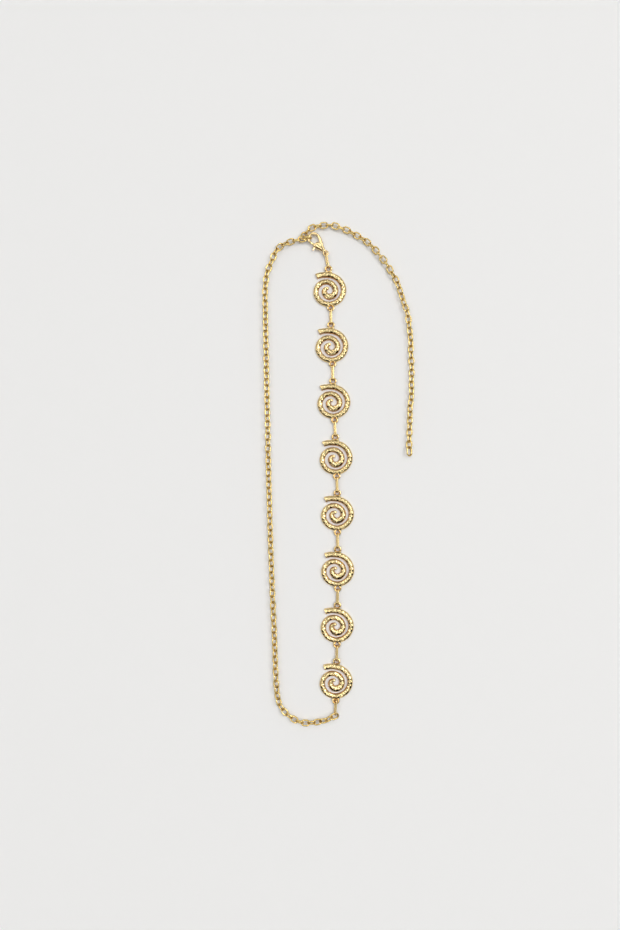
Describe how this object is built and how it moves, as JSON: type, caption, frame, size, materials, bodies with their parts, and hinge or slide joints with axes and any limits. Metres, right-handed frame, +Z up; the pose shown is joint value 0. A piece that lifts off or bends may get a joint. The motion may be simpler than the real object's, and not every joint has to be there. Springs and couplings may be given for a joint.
{
  "type": "waist chain",
  "caption": "Gold-tone waist chain of hammered spiral pendants joined by long oval links, with a cable chain, a lobster clasp and an extender tail.",
  "frame": {"origin": "centre of the bounding box's footprint, on the surface that the chain lies on", "axes": "+Y along the row of pendants towards the clasp, +X towards the free tail, +Z up from the surface"},
  "size_m": [0.1217, 0.4029, 0.0056],
  "materials": {
    "hammered_gold": "hammered and polished pale gold plate",
    "connector_wire": "polished pale gold plate",
    "chain_wire": "polished pale gold plate",
    "clasp_cast": "satin polished pale gold plate"
  },
  "bodies": {
    "chain": {"spiral_1": "hammered_gold", "spiral_2": "hammered_gold", "spiral_3": "hammered_gold", "spiral_4": "hammered_gold", "spiral_5": "hammered_gold", "spiral_6": "hammered_gold", "spiral_7": "hammered_gold", "spiral_8": "hammered_gold", "connector_1": "connector_wire", "connector_2": "connector_wire", "connector_3": "connector_wire", "connector_4": "connector_wire", "connector_5": "connector_wire", "connector_6": "connector_wire", "connector_7": "connector_wire", "connector_8": "connector_wire", "connector_9": "connector_wire", "chain_loop": "chain_wire", "chain_tail": "chain_wire", "end_ring": "chain_wire", "clasp_body": "clasp_cast", "clasp_pin": "clasp_cast"},
    "lever": {"clasp_lever": "clasp_cast"}
  },
  "joints": [
    {"name": "lever_hinge", "type": "hinge", "parent": "chain", "child": "lever", "pos_m": [-0.01904, 0.18335, 0.00281], "axis": [0, 0, -1], "range_deg": [0, 20], "stiffness_Nm_per_rad": 0.002, "springref_deg": -17.19}
  ]
}
